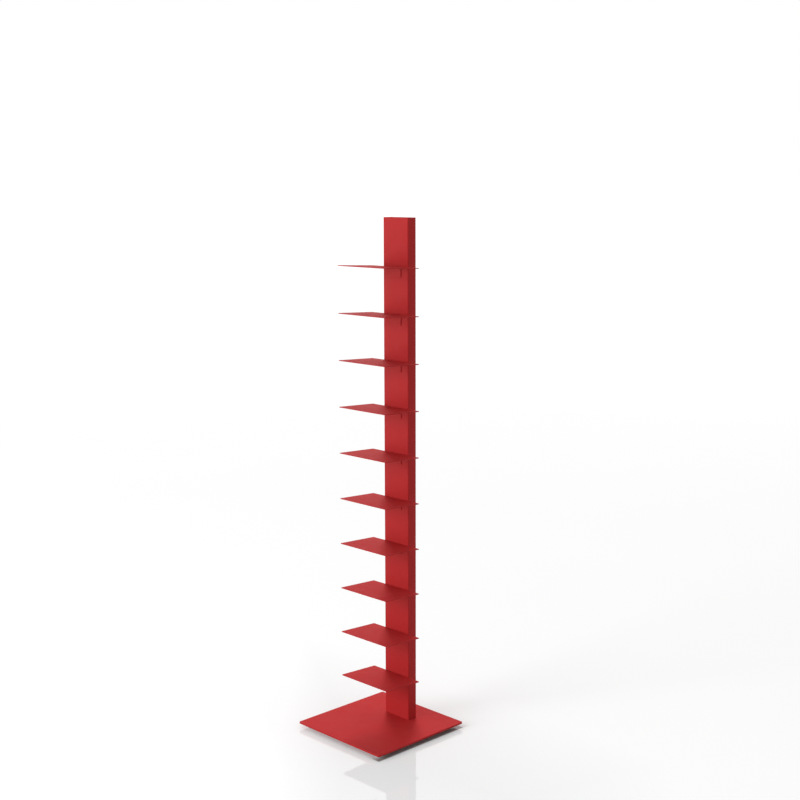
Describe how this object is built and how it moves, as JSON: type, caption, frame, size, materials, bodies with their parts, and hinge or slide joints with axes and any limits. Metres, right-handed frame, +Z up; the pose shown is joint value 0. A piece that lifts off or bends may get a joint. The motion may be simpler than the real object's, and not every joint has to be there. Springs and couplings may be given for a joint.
{
  "type": "spine bookshelf",
  "caption": "Slim upright steel column on a square flat base, with small thin shelves cantilevered forward from it to hold stacks of books lying flat.",
  "frame": {"origin": "centre of the square base on the floor, at the undersides of the feet", "axes": "+Z up along the column; -Y is the front, where the shelves reach out from the column; +X to the right seen from the front"},
  "size_m": [0.35, 0.35, 1.52],
  "materials": {
    "red_powder_coat": "satin red powder coat",
    "zinc_steel": "zinc-plated steel",
    "grey_moulding": "matt light grey plastic"
  },
  "bodies": {
    "bookshelf": {"base_plate": "red_powder_coat", "foot_bosses": "red_powder_coat", "column": "red_powder_coat", "column_foot_plate": "red_powder_coat", "base_weld_nuts": "zinc_steel", "base_screws": "zinc_steel", "column_top_cap": "red_powder_coat", "shelf_studs": "zinc_steel", "shelf_nuts": "zinc_steel", "shelf_01": "red_powder_coat", "shelf_02": "red_powder_coat", "shelf_03": "red_powder_coat", "shelf_04": "red_powder_coat", "shelf_05": "red_powder_coat", "shelf_06": "red_powder_coat", "shelf_07": "red_powder_coat", "shelf_08": "red_powder_coat", "shelf_09": "red_powder_coat", "shelf_10": "red_powder_coat"},
    "foot_front_left": {"foot_pad_front_left": "grey_moulding", "foot_stud_front_left": "zinc_steel"},
    "foot_front_right": {"foot_pad_front_right": "grey_moulding", "foot_stud_front_right": "zinc_steel"},
    "foot_back_left": {"foot_pad_back_left": "grey_moulding", "foot_stud_back_left": "zinc_steel"},
    "foot_back_right": {"foot_pad_back_right": "grey_moulding", "foot_stud_back_right": "zinc_steel"}
  },
  "joints": [
    {"name": "foot_front_left_screw", "type": "slide", "parent": "bookshelf", "child": "foot_front_left", "axis": [0, 0, -1], "range_m": [0, 0.004]},
    {"name": "foot_front_right_screw", "type": "slide", "parent": "bookshelf", "child": "foot_front_right", "axis": [0, 0, -1], "range_m": [0, 0.004]},
    {"name": "foot_back_left_screw", "type": "slide", "parent": "bookshelf", "child": "foot_back_left", "axis": [0, 0, -1], "range_m": [0, 0.004]},
    {"name": "foot_back_right_screw", "type": "slide", "parent": "bookshelf", "child": "foot_back_right", "axis": [0, 0, -1], "range_m": [0, 0.004]}
  ]
}
